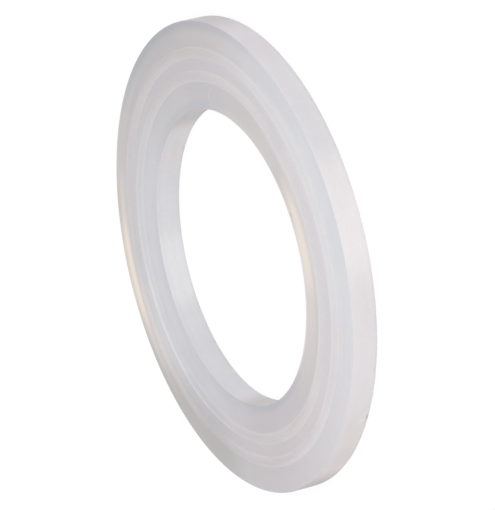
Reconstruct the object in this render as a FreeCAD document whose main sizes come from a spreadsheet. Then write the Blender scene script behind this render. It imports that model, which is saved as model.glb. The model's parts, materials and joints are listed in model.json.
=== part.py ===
"""Plastic sealing washer: a flat moulded ring with two raised ribs on one face.

The washer lies flat on its plain back face. The origin is on the bore's axis at
that face, +Z runs along the axis towards the ribs, and lengths are millimetres.
"""
import FreeCAD, Part
import math
import os

import Sketcher

NODE = "sealing_washer"
# Two lengths nearer than this, in millimetres, count as the same
MATCH = 1e-4

# Driving sizes, in millimetres: alias, value, what it is
SIZES = [
    ("OuterDiameter", 43.0, "outside of the ring"),
    ("BoreDiameter", 27.0, "hole that slips over the pipe thread"),
    ("Thickness", 2.4, "back face to the flat lands of the front face"),
    ("OuterLandWidth", 2.4, "rim to the outer foot of the outer rib"),
    ("RibPitch", 2.1, "one rib to the same place on the next"),
    ("RibWidth", 0.94, "foot to foot of each rib"),
    ("RibHeight", 0.42, "lands to the flat crest of each rib"),
    ("CrestWidth", 0.22, "flat on top of each rib"),
    ("RimEdgeRadius", 0.2, "rounding of the front corner at the rim"),
    ("BoreEdgeRadius", 0.15, "rounding of the front corner at the bore"),
    ("BackEdgeBreak", 0.1, "chamfer of both back corners, where the mould parted"),
]

# Places worked out from the driving sizes
PLACES = [
    ("OuterRadius", "=OuterDiameter / 2", "rim"),
    ("BoreRadius", "=BoreDiameter / 2", "bore wall"),
    ("OuterRibFoot", "=OuterRadius - OuterLandWidth", "outer foot of the outer rib"),
    ("InnerRibFoot", "=OuterRibFoot - RibPitch", "outer foot of the inner rib"),
]


def make_sheet(doc):
    """The sheet that holds every size, one named row each."""
    sheet = doc.addObject("Spreadsheet::Sheet", "Sizes")
    for row, (alias, value, meaning) in enumerate(SIZES + PLACES, start=1):
        sheet.set(f"A{row}", meaning)
        sheet.set(f"B{row}", str(value))
        sheet.setAlias(f"B{row}", alias)
    doc.recompute()
    return sheet


def half_section_sketch(body, name):
    """An empty sketch on the body's XZ plane: across is radius, up is height."""
    sketch = body.newObject("Sketcher::SketchObject", name)
    plane = next(item for item in body.Origin.OriginFeatures if item.Role == "XZ_Plane")
    sketch.AttachmentSupport = [(plane, "")]
    sketch.MapMode = "FlatFace"
    return sketch


def draw_outline(sketch, corners):
    """Straight edges round the corners, each joined to the next, and their numbers."""
    points = [FreeCAD.Vector(across, up, 0) for across, up in corners]
    edges = []
    for start, end in zip(points, points[1:] + points[:1]):
        edges.append(sketch.addGeometry(Part.LineSegment(start, end), False))
    for edge, following in zip(edges, edges[1:] + edges[:1]):
        sketch.addConstraint(Sketcher.Constraint("Coincident", edge, 2, following, 1))
    return edges


def drive(sketch, kind, places, alias, value):
    """A distance in the sketch that follows one cell of the sheet."""
    number = sketch.addConstraint(Sketcher.Constraint(kind, *places, value))
    sketch.renameConstraint(number, alias)
    sketch.setExpression(f"Constraints.{alias}", f"Sizes.{alias}")


def turn(body, sketch, name):
    """The sketch turned all the way round the washer's axis."""
    solid = body.newObject("PartDesign::Revolution", name)
    solid.Profile = sketch
    solid.ReferenceAxis = (sketch, ["V_Axis"])
    solid.Angle = 360
    sketch.Visibility = False
    return solid


def add_flat_ring(body, sheet):
    """The plain ring: a rectangle from the bore wall to the rim."""
    sketch = half_section_sketch(body, "RingSection")
    bore, rim, top = sheet.BoreRadius, sheet.OuterRadius, sheet.Thickness
    back, outside, front, inside = draw_outline(sketch, [(bore, 0), (rim, 0), (rim, top), (bore, top)])
    for edge in (back, front):
        sketch.addConstraint(Sketcher.Constraint("Horizontal", edge))
    for edge in (outside, inside):
        sketch.addConstraint(Sketcher.Constraint("Vertical", edge))
    sketch.addConstraint(Sketcher.Constraint("PointOnObject", back, 1, -1))
    drive(sketch, "DistanceX", (-1, 1, back, 1), "BoreRadius", bore)
    drive(sketch, "DistanceX", (-1, 1, back, 2), "OuterRadius", rim)
    drive(sketch, "DistanceY", (-1, 1, front, 1), "Thickness", top)
    return turn(body, sketch, "FlatRing")


def add_rib(body, sheet, name, foot_alias):
    """One rib on the front face: sloping flanks alike on both sides and a narrow flat crest."""
    sketch = half_section_sketch(body, f"{name}Section")
    outside, low, high = getattr(sheet, foot_alias), sheet.Thickness, sheet.Thickness + sheet.RibHeight
    inside, lean = outside - sheet.RibWidth, (sheet.RibWidth - sheet.CrestWidth) / 2
    corners = [(inside, low), (outside, low), (outside - lean, high), (inside + lean, high)]
    foot, outer_flank, crest, inner_flank = draw_outline(sketch, corners)
    for edge in (foot, crest):
        sketch.addConstraint(Sketcher.Constraint("Horizontal", edge))
    sketch.addConstraint(Sketcher.Constraint("Equal", outer_flank, inner_flank))
    drive(sketch, "DistanceX", (-1, 1, foot, 2), foot_alias, outside)
    drive(sketch, "DistanceY", (-1, 1, foot, 1), "Thickness", low)
    drive(sketch, "DistanceX", (foot, 1, foot, 2), "RibWidth", sheet.RibWidth)
    drive(sketch, "DistanceX", (crest, 2, crest, 1), "CrestWidth", sheet.CrestWidth)
    drive(sketch, "DistanceY", (outer_flank, 1, outer_flank, 2), "RibHeight", sheet.RibHeight)
    return turn(body, sketch, name)


def is_circle(edge, radius, height):
    """Whether the edge is the circle round the washer's axis at this radius and height."""
    if not isinstance(edge.Curve, Part.Circle):
        return False
    centre = edge.Curve.Center
    on_axis = math.hypot(centre.x, centre.y) < MATCH
    return on_axis and abs(centre.z - height) < MATCH and abs(edge.Curve.Radius - radius) < MATCH


def ease_corners(doc, body, kind, name, size, alias, circles):
    """A fillet or chamfer along circles of the body so far, each given by its radius and height."""
    base = body.Tip
    edges = []
    for number, edge in enumerate(base.Shape.Edges, start=1):
        if any(is_circle(edge, radius, height) for radius, height in circles):
            edges.append(f"Edge{number}")
    if len(edges) != len(circles):
        raise ValueError(f"{name} found {len(edges)} of its {len(circles)} corners")
    easing = body.newObject(f"PartDesign::{kind}", name)
    easing.Base = (base, edges)
    easing.setExpression(size, f"Sizes.{alias}")
    doc.recompute()


def build_washer(doc, sheet):
    """The whole washer in one body: ring, two ribs, then its four eased corners."""
    body = doc.addObject("PartDesign::Body", NODE)
    body.Label = NODE
    body.Placement = FreeCAD.Placement()
    add_flat_ring(body, sheet)
    add_rib(body, sheet, "OuterRib", "OuterRibFoot")
    add_rib(body, sheet, "InnerRib", "InnerRibFoot")
    doc.recompute()

    rim, bore, top = sheet.OuterRadius, sheet.BoreRadius, sheet.Thickness
    ease_corners(doc, body, "Fillet", "RimRounding", "Radius", "RimEdgeRadius", [(rim, top)])
    ease_corners(doc, body, "Fillet", "BoreRounding", "Radius", "BoreEdgeRadius", [(bore, top)])
    ease_corners(doc, body, "Chamfer", "BackBreak", "Size", "BackEdgeBreak", [(rim, 0), (bore, 0)])
    return body


def check(doc, body):
    """Stop if any feature failed or the washer isn't one sound solid."""
    for item in doc.Objects:
        if "Invalid" in item.State or "Error" in item.State:
            raise RuntimeError(f"{item.Name} failed: {item.State}")
    shape = body.Shape
    if shape.isNull() or not shape.isValid() or len(shape.Solids) != 1:
        raise RuntimeError(f"{body.Label} isn't one valid solid")


def report(sheet, shape):
    """Volume beside the ring's own volume, so that a rib that adds nothing shows."""
    ring = math.pi * (sheet.OuterRadius**2 - sheet.BoreRadius**2) * sheet.Thickness
    box = shape.optimalBoundingBox(False)
    print(f"{NODE}: volume {shape.Volume:.2f} mm3, plain ring {ring:.2f} mm3")
    print(f"{NODE}: {box.XLength:.3f} x {box.YLength:.3f} x {box.ZLength:.3f} mm")


doc = FreeCAD.newDocument("SealingWasher")
sheet = make_sheet(doc)
washer = build_washer(doc, sheet)
check(doc, washer)
report(sheet, washer.Shape)
os.makedirs("parts", exist_ok=True)
washer.Shape.exportStep(os.path.join("parts", f"{washer.Label}.step"))
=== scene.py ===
"""Looks of the plastic sealing washer: a milky natural-plastic ring with two raised ribs.

The washer lies on its plain back on a white floor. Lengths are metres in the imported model's frame:
the bore's axis is Z, the back face is at Z = 0 and the ribs point up. Turns round the axis are
degrees from +X towards +Y. The photograph looks from -Y and from above, with +X upwards in its
picture, so 0 is the picture's top, 90 its left and the far side, 180 its bottom, and -90 its right
and the near side. The names below are those of the picture.
"""

import json
import math

import bpy
from mathutils import Euler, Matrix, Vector


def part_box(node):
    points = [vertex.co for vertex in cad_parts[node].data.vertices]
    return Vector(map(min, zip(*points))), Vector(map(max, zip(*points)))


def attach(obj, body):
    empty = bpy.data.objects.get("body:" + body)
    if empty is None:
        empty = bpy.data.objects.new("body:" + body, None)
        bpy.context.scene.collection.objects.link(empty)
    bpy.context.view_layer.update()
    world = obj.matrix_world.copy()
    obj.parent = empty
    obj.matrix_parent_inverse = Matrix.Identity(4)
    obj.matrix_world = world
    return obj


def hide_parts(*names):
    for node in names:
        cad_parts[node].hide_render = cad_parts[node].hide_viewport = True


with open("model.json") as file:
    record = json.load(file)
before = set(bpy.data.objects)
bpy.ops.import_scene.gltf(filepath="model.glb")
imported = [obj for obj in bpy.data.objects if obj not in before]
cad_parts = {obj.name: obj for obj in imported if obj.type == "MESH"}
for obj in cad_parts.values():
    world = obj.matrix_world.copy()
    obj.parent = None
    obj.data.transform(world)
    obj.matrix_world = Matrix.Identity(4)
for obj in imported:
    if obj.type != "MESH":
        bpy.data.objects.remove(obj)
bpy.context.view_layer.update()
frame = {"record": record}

MM = 0.001

# Sizes of the moulding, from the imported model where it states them
MOUNTS = {mount["name"]: mount for mount in frame["record"]["mounts"]}
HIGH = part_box("sealing_washer")[1]
RIM_RADIUS = HIGH.x
BORE_RADIUS = MOUNTS["bore"]["dims"]["r_mm"] * MM
LAND_HEIGHT = MOUNTS["inner_land"]["pos_m"][2]
RIB_TOP = HIGH.z
OUTER_FEET = (19.10 * MM, 17.00 * MM)
RIB_WIDTH = 0.94 * MM
CREST_WIDTH = 0.22 * MM
CREST_ROUNDING = 0.10 * MM
ROOT_ROUNDING = 0.14 * MM
RIM_EDGE = 0.20 * MM
BORE_EDGE = 0.15 * MM
BACK_EDGE = 0.10 * MM

# How finely the ring is divided
SEGMENTS = 640
ARC_STEPS = 6
LONGEST_STEP = 0.30 * MM

# Where each surface starts, as two heights, or two radii for the rim and the bore: none of it at the first
# and all of it from the second on
FACE_START = (LAND_HEIGHT - 0.10 * MM, LAND_HEIGHT - 0.03 * MM)
RIBS_START = (LAND_HEIGHT + 0.004 * MM, LAND_HEIGHT + 0.014 * MM)
FLANKS_START = (RIB_TOP + 0.05 * MM, RIB_TOP - 0.12 * MM)
CRESTS_START = (RIB_TOP - 0.12 * MM, RIB_TOP - 0.01 * MM)
RIM_START = (RIM_RADIUS - 0.30 * MM, RIM_RADIUS - 0.20 * MM)
BORE_START = (BORE_RADIUS + 0.30 * MM, BORE_RADIUS + 0.20 * MM)
BACK_START = (0.14 * MM, 0.04 * MM)

# The plastic where nothing tints it: its colour, how it bends light and how light soaks into it
PLASTIC = (0.626, 0.608, 0.626)
REFRACTION = 1.51
SOAK_SHARE = 0.1
SOAK_BY_COLOUR = (1.0, 0.95, 0.9)
SOAK_DEPTH = 2.0 * MM

# Ends of a stretch that lie inside the bore and outside the rim, or below and above everything, in mm
INSIDE, OUTSIDE = 12, 23
BELOW, ABOVE = -1, 4

# Stretches that many tints share: all round the washer, all across a face and all the height of a wall
ALL_ROUND = (0, 0, 180)
ALL_ACROSS = (INSIDE, OUTSIDE, 0.1)
ALL_HEIGHT = (BELOW, ABOVE, 0.1)

# Painted light and shade over the plastic on each surface, one over the other: the glows, sheens and
# highlights, the bright and dim sides, the paler and darker bands, the warm, brown or cool casts, roots and
# feet made paler where shade would fall and corners dimmed where highlights would be. Only the pale back and
# the fine line in the bore wall's sheen are the plastic's own. Each has its name; its middle turn and the
# half widths, in degrees, that it fills and that it ends at; where it begins and ends across the surface and
# how softly, in mm; and its colour factor. Measured across are the radius on the face, on the flanks and the
# crests of the ribs and on the back, the height on the rim and on the bore wall, and the distance from the
# nearest foot of a rib at the roots.
PAINTED_LIGHT_AND_TINTS = {
    "face": [
        ("bright near side", (-90, 0, 100), ALL_ACROSS, (1.22, 1.21, 1.21)),
        ("cool outer land on the near side", (-90, 0, 85), (18.5, OUTSIDE, 0.1), (1.03, 1.07, 1.08)),
        ("brown inner land on the near side", (-90, 0, 85), (INSIDE, 16.3, 0.1), (0.92, 0.90, 0.86)),
        ("dim inner land at the upper right", (-18, 0, 32), (INSIDE, 16.0, 0.3), (0.94, 0.94, 0.95)),
        ("dim inner land at the lower right", (-157, 0, 34), (INSIDE, 15.8, 0.4), (0.93, 0.91, 0.93)),
        ("cream glow on the near inner land", (-81.5, 4, 25), (13.8, 15.25, 0.45), (1.25, 1.20, 1.14)),
        ("cream fringe of the near glow", (-96, 8, 30), (13.8, 15.25, 0.45), (1.06, 1.045, 1.025)),
        ("cream tail of the near glow", (-107, 6, 18), (13.8, 15.25, 0.45), (1.025, 1.02, 1.03)),
        ("dim start of the near glow", (-64, 3, 9), (13.9, 15.1, 0.3), (0.97, 0.96, 0.97)),
        ("grey bore edge beside the near glow", (-69, 7, 14), (13.8, 14.3, 0.12), (0.94, 0.94, 0.955)),
        ("pale root on the near inner land", (-75, 8, 35), (15.4, 16.1, 0.2), (1.07, 1.07, 1.07)),
        ("pale inner rib head on the near side", (-90, 30, 75), (16.4, 16.88, 0.05), (1.03, 1.035, 1.03)),
        ("dim inner rib foot on the near side", (-90, 15, 50), (16.9, 17.1, 0.03), (0.98, 0.975, 0.97)),
        ("pale valley on the near side", (-75, 12, 28), (17.05, 18.2, 0.1), (1.04, 1.03, 1.04)),
        ("warm outer rib on the near side", (-90, 30, 60), (18.4, 19.15, 0.08), (1.035, 1.02, 1.0)),
        ("dim outer rib foot on the near side", (-80, 25, 55), (18.93, 19.12, 0.03), (0.988, 0.976, 0.975)),
        ("pale root on the near outer land", (-88, 20, 55), (19.12, 19.8, 0.15), (1.035, 1.03, 1.02)),
        ("pale bore corner on the near side", (-110, 10, 34), (INSIDE, 13.8, 0.1), (1.17, 1.19, 1.20)),
        ("bright far side", (97, 0, 75), ALL_ACROSS, (1.13, 1.12, 1.12)),
        ("pale inner rib head on the far side", (112, 9, 24), (16.27, 16.48, 0.05), (1.08, 1.09, 1.07)),
        ("pale outer rib head on the far side", (120, 14, 30), (18.34, 18.76, 0.05), (1.09, 1.09, 1.075)),
        ("dim outer rib foot on the far side", (88, 12, 28), (18.12, 18.3, 0.04), (0.955, 0.955, 0.93)),
        ("cool inner land on the far side", (97, 0, 75), (INSIDE, 16.7, 0.1), (1.02, 1.05, 1.06)),
        ("pale valley on the far side", (116, 8, 30), (17.4, 18.3, 0.2), (1.06, 1.06, 1.06)),
        ("blue bore edge on the far side", (115, 25, 70), (INSIDE, 14.3, 0.6), (0.92, 0.92, 0.95)),
        ("brown outer land on the far side", (90, 0, 60), (18.5, OUTSIDE, 0.1), (0.93, 0.91, 0.88)),
        ("pale root on the far outer land", (112, 12, 42), (18.9, 19.6, 0.15), (1.08, 1.09, 1.09)),
        ("cream glow on the far outer land", (94, 4, 17), (19.8, OUTSIDE, 0.3), (1.20, 1.165, 1.105)),
        ("cream fringe of the far glow", (92, 12, 30), (19.8, OUTSIDE, 0.3), (1.18, 1.145, 1.085)),
        ("brown far outer edge", (98, 18, 36), (20.75, OUTSIDE, 0.4), (0.83, 0.83, 0.84)),
        ("dim ribs at the lower left", (143, 0, 26), (16.9, OUTSIDE, 0.1), (0.88, 0.89, 0.88)),
        ("dim outer land at the lower left", (143, 0, 26), (18.5, OUTSIDE, 0.1), (0.90, 0.88, 0.86)),
        ("pale ribs at the lower left", (168, 8, 20), (16.5, 18.3, 0.2), (1.05, 1.04, 1.05)),
        ("pale root at the lower left", (163, 5, 15), (15.45, 16.1, 0.2), (1.04, 1.025, 1.04)),
        ("dim inner land at the lower left", (133, 4, 13), (14.2, 15.8, 0.3), (0.965, 0.955, 0.965)),
        ("dim inner flank at the lower left", (146, 6, 16), (16.13, 16.40, 0.05), (0.945, 0.945, 0.96)),
        ("warm inner rib foot at the lower right", (-150, 5, 15), (16.55, 17.0, 0.1), (0.98, 0.95, 0.94)),
        ("brown outer land at the top", (15, 0, 55), (18.5, OUTSIDE, 0.1), (0.95, 0.92, 0.92)),
        ("dim outer land at the top", (30, 8, 30), (19.6, OUTSIDE, 0.3), (0.93, 0.965, 0.96)),
        ("dim outer edge at the top", (12, 0, 54), (20.7, OUTSIDE, 0.5), (0.86, 0.89, 0.92)),
        ("pale outer edge at the upper left", (45, 2, 13), (20.2, OUTSIDE, 0.3), (1.06, 1.045, 1.035)),
        ("dim outer edge at the upper right", (-30, 25, 75), (20.95, OUTSIDE, 0.25), (0.95, 0.95, 0.96)),
        ("dim outer land at the upper right", (-46, 4, 15), (19.7, 21.0, 0.3), (0.955, 0.96, 0.965)),
        ("dim bore edge at the top", (17, 0, 42), (INSIDE, 14.2, 0.4), (0.92, 0.95, 0.98)),
        ("warm bore corner at the upper right", (-28, 5, 18), (INSIDE, 14.2, 0.15), (1.06, 1.045, 1.01)),
        ("warm outer land at the lower right", (-150, 25, 60), (18.5, OUTSIDE, 0.1), (0.99, 0.965, 0.97)),
        ("warm valley at the bottom", (-160, 12, 40), (17.1, 18.2, 0.1), (1.01, 0.97, 0.97)),
        ("dim bore edge at the bottom", (-164, 0, 32), (INSIDE, 14.1, 0.3), (0.86, 0.90, 0.93)),
    ],
    "flanks": [
        ("pale rib flanks at the top", (5, 0, 60), ALL_ACROSS, (1.14, 1.12, 1.09)),
        ("pale rib flanks at the bottom", (-172, 0, 50), ALL_ACROSS, (1.13, 1.11, 1.10)),
    ],
    "crests": [
        ("warm inner crest at the top", (-3, 25, 50), (16, 17, 0.1), (0.98, 0.96, 0.96)),
        ("pale outer crest at the upper left", (52, 10, 25), (18, OUTSIDE, 0.1), (1.03, 1.04, 1.06)),
        ("pale outer crest on the far side", (115, 20, 50), (18, OUTSIDE, 0.1), (1.03, 1.03, 1.04)),
        ("pale inner crest on the far side", (108, 10, 45), (16, 17, 0.1), (1.04, 1.05, 1.05)),
        ("warm crests at the bottom", (-163, 12, 30), ALL_ACROSS, (0.995, 0.95, 0.945)),
        ("dim inner crest at the lower right", (-138, 6, 22), (16, 17, 0.1), (0.97, 0.955, 0.965)),
    ],
    # Painted light where the ribs' roots would be shaded
    "roots": [
        ("pale rib roots", ALL_ROUND, (BELOW, 0.12, 0.1), (1.05, 1.05, 1.05)),
    ],
    # Painted light and shade on the rim: paler than the face for the light it lacks by the floor, a painted
    # sheen, and painted shade at its ends and front corner
    "rim": [
        ("pale rim", ALL_ROUND, ALL_HEIGHT, (1.36, 1.36, 1.36)),
        ("pale foot of the rim", ALL_ROUND, (BELOW, 0.7, 0.5), (1.03, 1.04, 1.04)),
        ("dim front corner of the rim", ALL_ROUND, (2.2, ABOVE, 0.1), (0.975, 0.985, 0.985)),
        ("pink sheen on the rim", (-80.5, 3, 19), ALL_HEIGHT, (1.14, 1.12, 1.10)),
        ("pale rim on the lower near side", (-115, 15, 45), ALL_HEIGHT, (1.05, 1.035, 1.03)),
        ("dim rim at the top", (0, 0, 23), ALL_HEIGHT, (0.74, 0.71, 0.71)),
        ("dim rim at the upper right", (-27, 3, 12), ALL_HEIGHT, (0.965, 0.945, 0.955)),
        ("brown rim at the bottom", (-165, 15, 45), ALL_HEIGHT, (0.93, 0.89, 0.87)),
        ("brown rim at the lower right", (-153, 3, 12), ALL_HEIGHT, (0.975, 0.945, 0.95)),
        ("dim rim at the bottom", (-178, 4, 26), ALL_HEIGHT, (0.58, 0.55, 0.55)),
    ],
    # Painted light and shade on the bore wall likewise; only the fine line in its sheen is a real turning
    # line
    "bore": [
        ("pale bore wall", ALL_ROUND, ALL_HEIGHT, (1.30, 1.315, 1.32)),
        ("pale foot of the bore wall", ALL_ROUND, (BELOW, 0.7, 0.5), (1.01, 1.03, 1.03)),
        ("dim head of the bore wall", ALL_ROUND, (1.9, ABOVE, 0.2), (0.97, 0.97, 0.975)),
        ("pale far side of the bore wall", (93, 12, 34), ALL_HEIGHT, (1.045, 1.045, 1.04)),
        ("white sheen on the bore wall", (95.5, 5, 17), ALL_HEIGHT, (1.095, 1.10, 1.085)),
        ("fine line in the sheen", (98, 9, 20), (1.05, 1.13, 0.03), (0.975, 0.96, 0.965)),
        ("warm bore wall at the upper left", (38, 8, 22), ALL_HEIGHT, (1.015, 0.99, 0.965)),
        ("dim bore wall at the top", (8, 6, 25), ALL_HEIGHT, (0.725, 0.695, 0.68)),
        ("dim bore wall at the bottom", (-178, 0, 20), ALL_HEIGHT, (0.80, 0.76, 0.72)),
    ],
    # The back's own colour
    "back": [
        ("pale back", ALL_ROUND, ALL_ACROSS, (1.25, 1.26, 1.25)),
    ],
}

# Fine curved hairs on the face: the name, the centre of the arc and its radius in mm, its middle turn about
# that centre and half sweep in degrees, its half width in mm and its colour factor
HAIRS = [
    ("hair at the top", (14.33, -3.05), 0.95, (85, 74), 0.08, (1.15, 1.12, 1.15)),
    ("hair at the upper left", (10.00, 10.45), 1.48, (110, 36), 0.07, (1.07, 1.09, 1.07)),
    ("hair at the lower right", (-10.37, -10.53), 0.67, (110, 85), 0.07, (1.10, 1.08, 1.08)),
    ("hair at the bottom", (-14.62, 2.78), 1.11, (107, 66), 0.07, (1.08, 1.08, 1.06)),
]
# The shares of its half width and of its half sweep within which a hair is at its full strength
HAIR_CORE = 1 / 3
HAIR_STRAND = 0.8

# Small spots: the name and the surface, the turn in degrees and the place across the surface in mm, the half
# length round the washer and the half width across in mm, and the colour factor
SPOTS = [
    ("dark nick in the bore's corner", "face", -74.1, 13.95, (0.26, 0.085), (0.78, 0.75, 0.75)),
    ("dim patch beside the hair at the top", "face", -7.5, 14.15, (0.12, 0.40), (0.95, 0.95, 0.96)),
    ("pale fleck near the outer edge", "face", -47.0, 20.70, (0.16, 0.12), (1.05, 1.05, 1.05)),
    ("dark nick on the rim's back edge", "rim", -132.0, 0.17, (0.36, 0.09), (0.72, 0.70, 0.70)),
    ("dim tick by the rim's back edge", "rim", -118.4, 0.22, (0.26, 0.06), (0.88, 0.88, 0.88)),
    ("pale blemish on the rim", "rim", -133.0, 0.72, (0.36, 0.28), (1.07, 1.06, 1.06)),
]
# A spot's soft edge, in shares of its half sizes, and the half widths in degrees that keep it to its own side
SPOT_EDGE = (1.4, 0.6)
SPOT_SIDE = (5, 15)

# Grain of the plastic: the scale and the detail of each noise, and how often the turning lines come across
# the washer and waver round it, per metre
MOTTLE = {"Scale": 420.0, "Detail": 3.0}
FINE_GRAIN = {"Scale": 3200.0, "Detail": 2.0}
TURNING = {"Scale": 1.0, "Detail": 2.0}
LINES_ACROSS = 5200.0
LINES_ROUND = 45.0
# The colour factor of each noise where it is low, and the noise values with none and with all of it
GRAIN_TINTS = [
    ("mottling", (0.98, 0.985, 0.99)),
    ("fine grain", (0.98, 0.985, 0.98)),
    ("turning lines", (0.985, 0.985, 0.985)),
]
GRAIN_FADE = (0.65, 0.35)
# Roughness from the mottling and what the turning lines add to it
MOTTLE_ROUGHNESS = (0.28, 0.44)
LINE_ROUGHNESS = (0.0, 0.16)
# Relief: the shares of the two noises, its depth, and its strength on the flat faces and on the ribs
LINE_RELIEF = 0.6
FINE_RELIEF = 0.4
RELIEF_DEPTH = 0.003 * MM
RELIEF_ON_FACES = 0.5
RELIEF_ON_RIBS = 0.12

# The white floor, a little below the back so that they don't coincide, and its own glow, which makes most of
# the white that the camera sees
FLOOR_SIZE = 3.0
FLOOR_DROP = 0.02 * MM
FLOOR_WHITE = (0.9, 0.9, 0.9, 1)
FLOOR_ROUGHNESS = 0.9
FLOOR_GLOW = 1.05
FLOOR_GLOW_SHARE = 0.85

# Even room light, and a square soft lamp over the near side that looks at the washer's middle
ROOM_WHITE = (1.0, 1.0, 1.0, 1)
ROOM_STRENGTH = 0.82
LAMP_ELEVATION_DEG = 60
LAMP_DISTANCE = 0.6
LAMP_SIZE = 0.4
LAMP_WATTS = 0.4

# The photograph's camera, in the frame of the washer
CAMERA_PLACE = (0.03298, -0.30484, 0.15357)
CAMERA_TURN_DEG = (-25.318, 60.388, -112.357)
LENS_MM = 271.18
SENSOR_MM = 36.0
NEAREST_SEEN = 0.01


def corner(before, here, after, radius):
    """The rounded corner as points along the arc that meets both its sides."""
    back, ahead = (before - here).normalized(), (after - here).normalized()
    half = back.angle(ahead) / 2
    centre = here + (back + ahead).normalized() * radius / math.sin(half)
    first = here + back * radius / math.tan(half) - centre
    last = here + ahead * radius / math.tan(half) - centre
    sweep = first.angle_signed(last)
    points = []
    for step in range(ARC_STEPS + 1):
        turn = -sweep * step / ARC_STEPS
        across = first.x * math.cos(turn) - first.y * math.sin(turn)
        up = first.x * math.sin(turn) + first.y * math.cos(turn)
        points.append(centre + Vector((across, up)))
    return points


def section():
    """The ring's section as a closed outline of (radius, height), counter-clockwise."""
    corners = [((BORE_RADIUS, 0), BACK_EDGE), ((RIM_RADIUS, 0), BACK_EDGE)]
    corners.append(((RIM_RADIUS, LAND_HEIGHT), RIM_EDGE))
    lean = (RIB_WIDTH - CREST_WIDTH) / 2
    for foot in OUTER_FEET:
        corners.append(((foot, LAND_HEIGHT), ROOT_ROUNDING))
        corners.append(((foot - lean, RIB_TOP), CREST_ROUNDING))
        corners.append(((foot - RIB_WIDTH + lean, RIB_TOP), CREST_ROUNDING))
        corners.append(((foot - RIB_WIDTH, LAND_HEIGHT), ROOT_ROUNDING))
    corners.append(((BORE_RADIUS, LAND_HEIGHT), BORE_EDGE))
    places = [Vector(place) for place, _ in corners]
    outline = []
    for number, (_, radius) in enumerate(corners):
        after = places[(number + 1) % len(places)]
        outline += corner(places[number - 1], places[number], after, radius)
    filled = []
    for here, after in zip(outline, outline[1:] + outline[:1]):
        steps = max(1, math.ceil((after - here).length / LONGEST_STEP))
        filled += [here.lerp(after, step / steps) for step in range(steps)]
    return filled


def ring_mesh(name, outline):
    """The outline turned round the axis into one closed mesh."""
    rows = len(outline)
    angles = [math.tau * turn / SEGMENTS for turn in range(SEGMENTS)]
    verts = [(p.x * math.cos(a), p.x * math.sin(a), p.y) for a in angles for p in outline]
    faces = []
    for turn in range(SEGMENTS):
        here, after = turn * rows, (turn + 1) % SEGMENTS * rows
        for row in range(rows):
            following = (row + 1) % rows
            faces.append((here + row, after + row, after + following, here + following))
    mesh = bpy.data.meshes.new(name)
    mesh.from_pydata(verts, [], faces)
    mesh.shade_smooth()
    return mesh


class Graph:
    """A material's nodes, with methods that add nodes and give their result."""

    def __init__(self, material):
        material.use_nodes = True
        self.tree = material.node_tree

    def feed(self, socket, value):
        """Link the value to the socket, or set it there when it is a constant."""
        if isinstance(value, bpy.types.NodeSocket):
            self.tree.links.new(value, socket)
        else:
            socket.default_value = value

    def node(self, kind, inputs, result=0, **settings):
        made = self.tree.nodes.new(kind)
        for name, value in settings.items():
            setattr(made, name, value)
        for place, value in inputs.items():
            self.feed(made.inputs[place], value)
        return made.outputs[result]

    def math(self, operation, *values):
        return self.node("ShaderNodeMath", dict(enumerate(values)), operation=operation)

    def product(self, *values):
        total = values[0]
        for value in values[1:]:
            total = self.math("MULTIPLY", total, value)
        return total

    def length(self, along, across):
        squares = self.math("ADD", self.product(along, along), self.product(across, across))
        return self.math("SQRT", squares)

    def rise(self, value, none, full):
        """0 at none and before it, 1 at full and past it, smooth between; either may be the larger."""
        limits = {"Value": value, "From Min": none, "From Max": full}
        return self.node("ShaderNodeMapRange", limits, interpolation_type="SMOOTHSTEP")

    def band(self, value, low, high, soft):
        """1 between low and high, 0 outside and smooth over twice the softness at both."""
        into = self.rise(value, low - soft, low + soft)
        out_of = self.rise(value, high - soft, high + soft)
        return self.math("SUBTRACT", into, out_of)

    def spread(self, value, low, high):
        """The value from 0 to 1 spread evenly from low to high."""
        return self.node("ShaderNodeMapRange", {"Value": value, "To Min": low, "To Max": high})

    def tinted(self, name, colour, tint, share):
        """The colour times the tint, by the share, in a node that bears the tint's name."""
        mix = self.tree.nodes.new("ShaderNodeMix")
        mix.label = name
        mix.data_type = "RGBA"
        mix.blend_type = "MULTIPLY"
        sockets = {socket.identifier: socket for socket in (*mix.inputs, *mix.outputs)}
        self.feed(sockets["Factor_Float"], share)
        self.feed(sockets["A_Color"], colour)
        self.feed(sockets["B_Color"], (*tint, 1))
        return sockets["Result_Color"]


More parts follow.
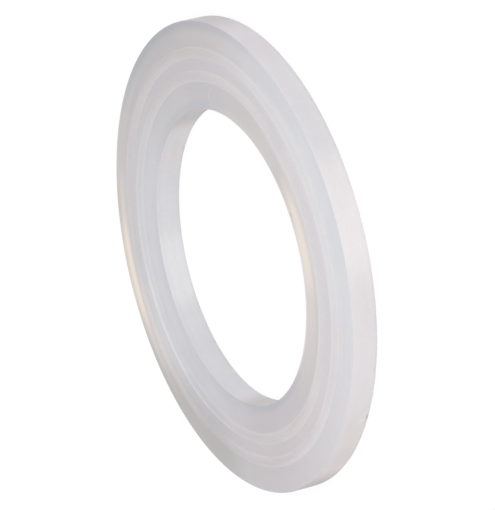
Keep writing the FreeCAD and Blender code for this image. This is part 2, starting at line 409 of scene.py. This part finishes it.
class Place:
    """Where a point of the washer lies, and its share of each surface and mark."""

    def __init__(self, graph):
        self.graph = graph
        self.point = graph.node("ShaderNodeTexCoord", {}, "Object")
        split = graph.tree.nodes.new("ShaderNodeSeparateXYZ")
        graph.feed(split.inputs[0], self.point)
        self.x, self.y, self.height = split.outputs
        self.radius = graph.length(self.x, self.y)
        self.surfaces = self.find_surfaces()

    def find_surfaces(self):
        """For each surface: 1 on it and 0 elsewhere, and what measures across it."""
        graph = self.graph
        face = graph.rise(self.height, *FACE_START)
        ribs = graph.rise(self.height, *RIBS_START)
        flanks = graph.product(ribs, graph.rise(self.height, *FLANKS_START))
        crests = graph.rise(self.height, *CRESTS_START)
        wall = graph.math("SUBTRACT", 1.0, face)
        outward = graph.rise(self.radius, *RIM_START)
        inward = graph.rise(self.radius, *BORE_START)
        between = graph.math("SUBTRACT", 1.0, graph.math("MAXIMUM", outward, inward))
        back = graph.product(between, graph.rise(self.height, *BACK_START))
        return {
            "face": (face, self.radius),
            "ribs": (ribs, self.radius),
            "flanks": (flanks, self.radius),
            "crests": (crests, self.radius),
            "roots": (face, self.to_nearest_foot()),
            "rim": (graph.product(wall, outward), self.height),
            "bore": (graph.product(wall, inward), self.height),
            "back": (back, self.radius),
        }

    def to_nearest_foot(self):
        """The distance across the washer from the nearest foot of a rib."""
        graph = self.graph
        feet = [*OUTER_FEET, *(outer - RIB_WIDTH for outer in OUTER_FEET)]
        distances = [graph.math("ABSOLUTE", graph.math("SUBTRACT", self.radius, foot)) for foot in feet]
        nearest = distances[0]
        for distance in distances[1:]:
            nearest = graph.math("MINIMUM", distance, nearest)
        return nearest

    def towards(self, turn):
        """How far the point lies from the axis along the turn's direction."""
        turn = math.radians(turn)
        along = self.graph.math("MULTIPLY", self.x, math.cos(turn))
        return self.graph.math("MULTIPLY_ADD", self.y, math.sin(turn), along)

    def lobe(self, middle, filled, end):
        """1 up to the filled half width from the middle turn, falling smoothly to 0 at the end."""
        if end >= 180:
            return 1.0
        cosine = self.graph.math("DIVIDE", self.towards(middle), self.radius)
        return self.graph.rise(cosine, math.cos(math.radians(end)), math.cos(math.radians(filled)))

    def stretch(self, surface, turns, ends):
        """The share of one tint, most of them painted light or shade: its surface, its lobe round the axis
        and its band across.
        """
        where, across = self.surfaces[surface]
        low, high, soft = ends
        band = self.graph.band(across, low * MM, high * MM, soft * MM)
        return self.graph.product(where, band, self.lobe(*turns))

    def hair(self, centre, radius, turns, half_width):
        """The share of a thin arc on the face."""
        graph = self.graph
        middle, half_sweep = math.radians(turns[0]), math.radians(turns[1])
        x = graph.math("SUBTRACT", self.x, centre[0] * MM)
        y = graph.math("SUBTRACT", self.y, centre[1] * MM)
        reach = graph.length(x, y)
        off = graph.math("ABSOLUTE", graph.math("SUBTRACT", reach, radius * MM))
        line = graph.rise(off, half_width * MM, half_width * MM * HAIR_CORE)
        along = graph.math("MULTIPLY_ADD", y, math.sin(middle), graph.math("MULTIPLY", x, math.cos(middle)))
        cosine = graph.math("DIVIDE", along, reach)
        swept = graph.rise(cosine, math.cos(half_sweep), math.cos(half_sweep * HAIR_STRAND))
        return graph.product(self.surfaces["face"][0], line, swept)

    def blot(self, surface, turn, across, halves):
        """The share of a small oval spot."""
        graph = self.graph
        where, measure = self.surfaces[surface]
        along = graph.math("DIVIDE", self.towards(turn + 90), halves[0] * MM)
        over = graph.math("DIVIDE", graph.math("SUBTRACT", measure, across * MM), halves[1] * MM)
        oval = graph.rise(graph.length(along, over), *SPOT_EDGE)
        return graph.product(where, oval, self.lobe(turn, *SPOT_SIDE))

    def grain(self):
        """Soft mottling, fine grain, and lines round the washer as the mould's turning left them."""
        graph = self.graph
        mottle = graph.node("ShaderNodeTexNoise", {"Vector": self.point, **MOTTLE})
        fine = graph.node("ShaderNodeTexNoise", {"Vector": self.point, **FINE_GRAIN})
        flat = graph.math("MAXIMUM", self.surfaces["face"][0], self.surfaces["back"][0])
        upright = graph.math("MULTIPLY", self.height, graph.math("SUBTRACT", 1.0, flat))
        across = graph.math("MULTIPLY_ADD", self.radius, flat, upright)
        spun = {
            "X": graph.math("MULTIPLY", self.x, LINES_ROUND),
            "Y": graph.math("MULTIPLY", self.y, LINES_ROUND),
            "Z": graph.math("MULTIPLY", across, LINES_ACROSS),
        }
        turned = graph.node("ShaderNodeCombineXYZ", spun)
        lines = graph.node("ShaderNodeTexNoise", {"Vector": turned, **TURNING})
        return mottle, fine, lines


def plastic_colour(graph, place, grain):
    """The plastic's own colour with the painted light and shade of the tints, and every hair, spot and grain
    over it.
    """
    colour = (*PLASTIC, 1)
    for surface, tints in PAINTED_LIGHT_AND_TINTS.items():
        for name, turns, ends, tint in tints:
            colour = graph.tinted(name, colour, tint, place.stretch(surface, turns, ends))
    for name, centre, radius, turns, half_width, tint in HAIRS:
        colour = graph.tinted(name, colour, tint, place.hair(centre, radius, turns, half_width))
    for name, surface, turn, across, halves, tint in SPOTS:
        colour = graph.tinted(name, colour, tint, place.blot(surface, turn, across, halves))
    for noise, (name, tint) in zip(grain, GRAIN_TINTS):
        colour = graph.tinted(name, colour, tint, graph.rise(noise, *GRAIN_FADE))
    return colour


def plastic():
    """Milky natural plastic, satin from the mould, with light and shade painted into its colour."""
    material = bpy.data.materials.new("milky_plastic")
    graph = Graph(material)
    place = Place(graph)
    mottle, fine, lines = place.grain()
    shader = graph.tree.nodes["Principled BSDF"]
    graph.feed(shader.inputs["Base Color"], plastic_colour(graph, place, (mottle, fine, lines)))

    rough = graph.math("ADD", graph.spread(mottle, *MOTTLE_ROUGHNESS), graph.spread(lines, *LINE_ROUGHNESS))
    graph.feed(shader.inputs["Roughness"], rough)
    grooves = graph.math("MULTIPLY", lines, LINE_RELIEF)
    relief = graph.math("ADD", grooves, graph.math("MULTIPLY", fine, FINE_RELIEF))
    on_ribs = place.surfaces["ribs"][0]
    strength = graph.math("MULTIPLY_ADD", on_ribs, RELIEF_ON_RIBS - RELIEF_ON_FACES, RELIEF_ON_FACES)
    bump = {"Strength": strength, "Distance": RELIEF_DEPTH, "Height": relief}
    graph.feed(shader.inputs["Normal"], graph.node("ShaderNodeBump", bump))
    shader.inputs["IOR"].default_value = REFRACTION
    shader.inputs["Subsurface Weight"].default_value = SOAK_SHARE
    shader.inputs["Subsurface Radius"].default_value = SOAK_BY_COLOUR
    shader.inputs["Subsurface Scale"].default_value = SOAK_DEPTH
    return material


def add_washer():
    """The moulding, in place of the plain solid."""
    mesh = ring_mesh("washer_moulding", section())
    piece = bpy.data.objects.new("washer_moulding", mesh)
    bpy.context.scene.collection.objects.link(piece)
    mesh.materials.append(plastic())
    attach(piece, "root")
    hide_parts("sealing_washer")


def white_floor():
    """Dull white that mostly glows where the camera sees it, so that the shadow on it stays faint."""
    material = bpy.data.materials.new("white_floor")
    graph = Graph(material)
    shader = graph.tree.nodes["Principled BSDF"]
    shader.inputs["Base Color"].default_value = FLOOR_WHITE
    shader.inputs["Roughness"].default_value = FLOOR_ROUGHNESS
    shader.inputs["Specular IOR Level"].default_value = 0.0
    glow = graph.node("ShaderNodeEmission", {"Strength": FLOOR_GLOW})
    path = graph.tree.nodes.new("ShaderNodeLightPath").outputs
    seen = graph.math("MAXIMUM", path["Is Camera Ray"], path["Is Glossy Ray"])
    seen = graph.math("MAXIMUM", seen, path["Is Transmission Ray"])
    share = graph.math("MULTIPLY", seen, FLOOR_GLOW_SHARE)
    mixed = graph.node("ShaderNodeMixShader", {0: share, 1: shader.outputs[0], 2: glow})
    graph.feed(graph.tree.nodes["Material Output"].inputs["Surface"], mixed)
    return material


def add_floor():
    """A white floor that takes the washer's shadow."""
    mesh = bpy.data.meshes.new("floor")
    half = FLOOR_SIZE / 2
    corners = [(-half, -half, 0), (half, -half, 0), (half, half, 0), (-half, half, 0)]
    mesh.from_pydata(corners, [], [(0, 1, 2, 3)])
    floor = bpy.data.objects.new("floor", mesh)
    floor.location.z = -FLOOR_DROP
    bpy.context.scene.collection.objects.link(floor)
    mesh.materials.append(white_floor())


def add_room_light():
    """The same white light from all sides."""
    world = bpy.data.worlds.new("room")
    world.use_nodes = True
    background = world.node_tree.nodes["Background"]
    background.inputs["Color"].default_value = ROOM_WHITE
    background.inputs["Strength"].default_value = ROOM_STRENGTH
    bpy.context.scene.world = world


def add_lamp():
    """The soft lamp over the near side."""
    data = bpy.data.lights.new("key", "AREA")
    data.size = LAMP_SIZE
    data.energy = LAMP_WATTS
    lamp = bpy.data.objects.new("key", data)
    elevation = math.radians(LAMP_ELEVATION_DEG)
    away = Vector((0, -math.cos(elevation), math.sin(elevation)))
    lamp.location = away * LAMP_DISTANCE
    lamp.rotation_euler = away.to_track_quat("Z", "Y").to_euler()
    bpy.context.scene.collection.objects.link(lamp)


def add_camera():
    """The photograph's view."""
    data = bpy.data.cameras.new("camera")
    data.lens = LENS_MM
    data.sensor_width = SENSOR_MM
    data.clip_start = NEAREST_SEEN
    camera = bpy.data.objects.new("camera", data)
    camera.location = CAMERA_PLACE
    camera.rotation_euler = Euler([math.radians(turn) for turn in CAMERA_TURN_DEG], "XYZ")
    bpy.context.scene.collection.objects.link(camera)
    bpy.context.scene.camera = camera


bpy.context.scene.view_settings.view_transform = "Standard"
add_washer()
add_floor()
add_room_light()
add_lamp()
add_camera()
